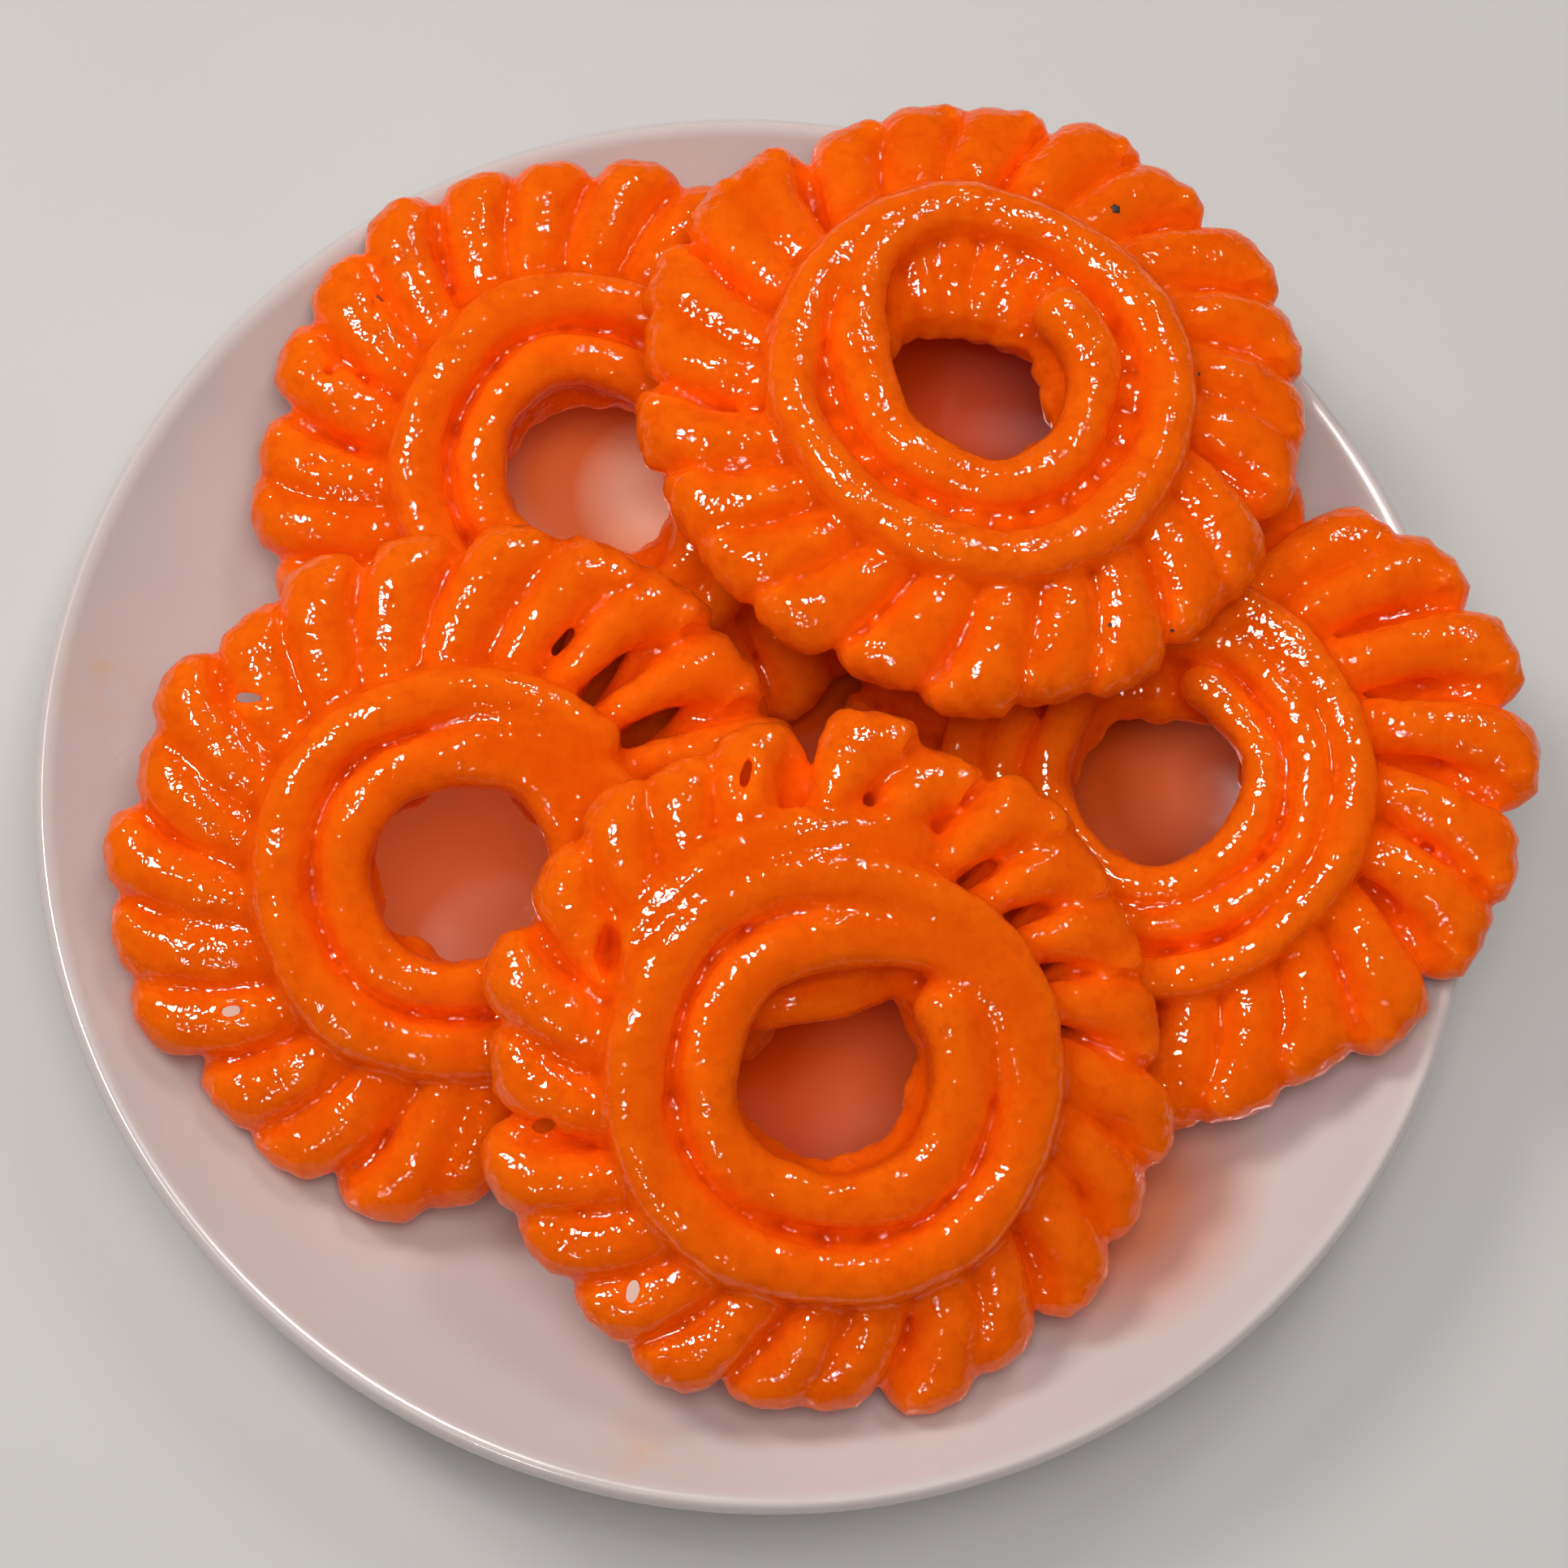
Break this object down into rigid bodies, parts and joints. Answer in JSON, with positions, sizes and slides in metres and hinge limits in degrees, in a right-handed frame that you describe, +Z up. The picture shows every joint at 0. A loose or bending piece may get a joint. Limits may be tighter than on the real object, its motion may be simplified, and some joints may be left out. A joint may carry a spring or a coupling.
{
  "type": "plate of jangiri",
  "caption": "Heap of round piped sweets soaked in syrup, each a ring of petal loops under a spiral with an open middle, on a shallow round glazed plate.",
  "frame": {"origin": "on the table under the middle of the whole part, 3 mm to the right of the middle of the plate", "axes": "+Z up, +Y towards the back of the plate, the picture's upper edge, and +X to the right"},
  "size_m": [0.2067, 0.2, 0.0496],
  "materials": {
    "porcelain": "glossy glaze",
    "syrup_batter": "wet with syrup"
  },
  "bodies": {
    "root": {"plate": "porcelain", "jangiri_back_left": "syrup_batter", "jangiri_right": "syrup_batter", "jangiri_left": "syrup_batter", "jangiri_front": "syrup_batter", "jangiri_top": "syrup_batter"}
  },
  "joints": []
}
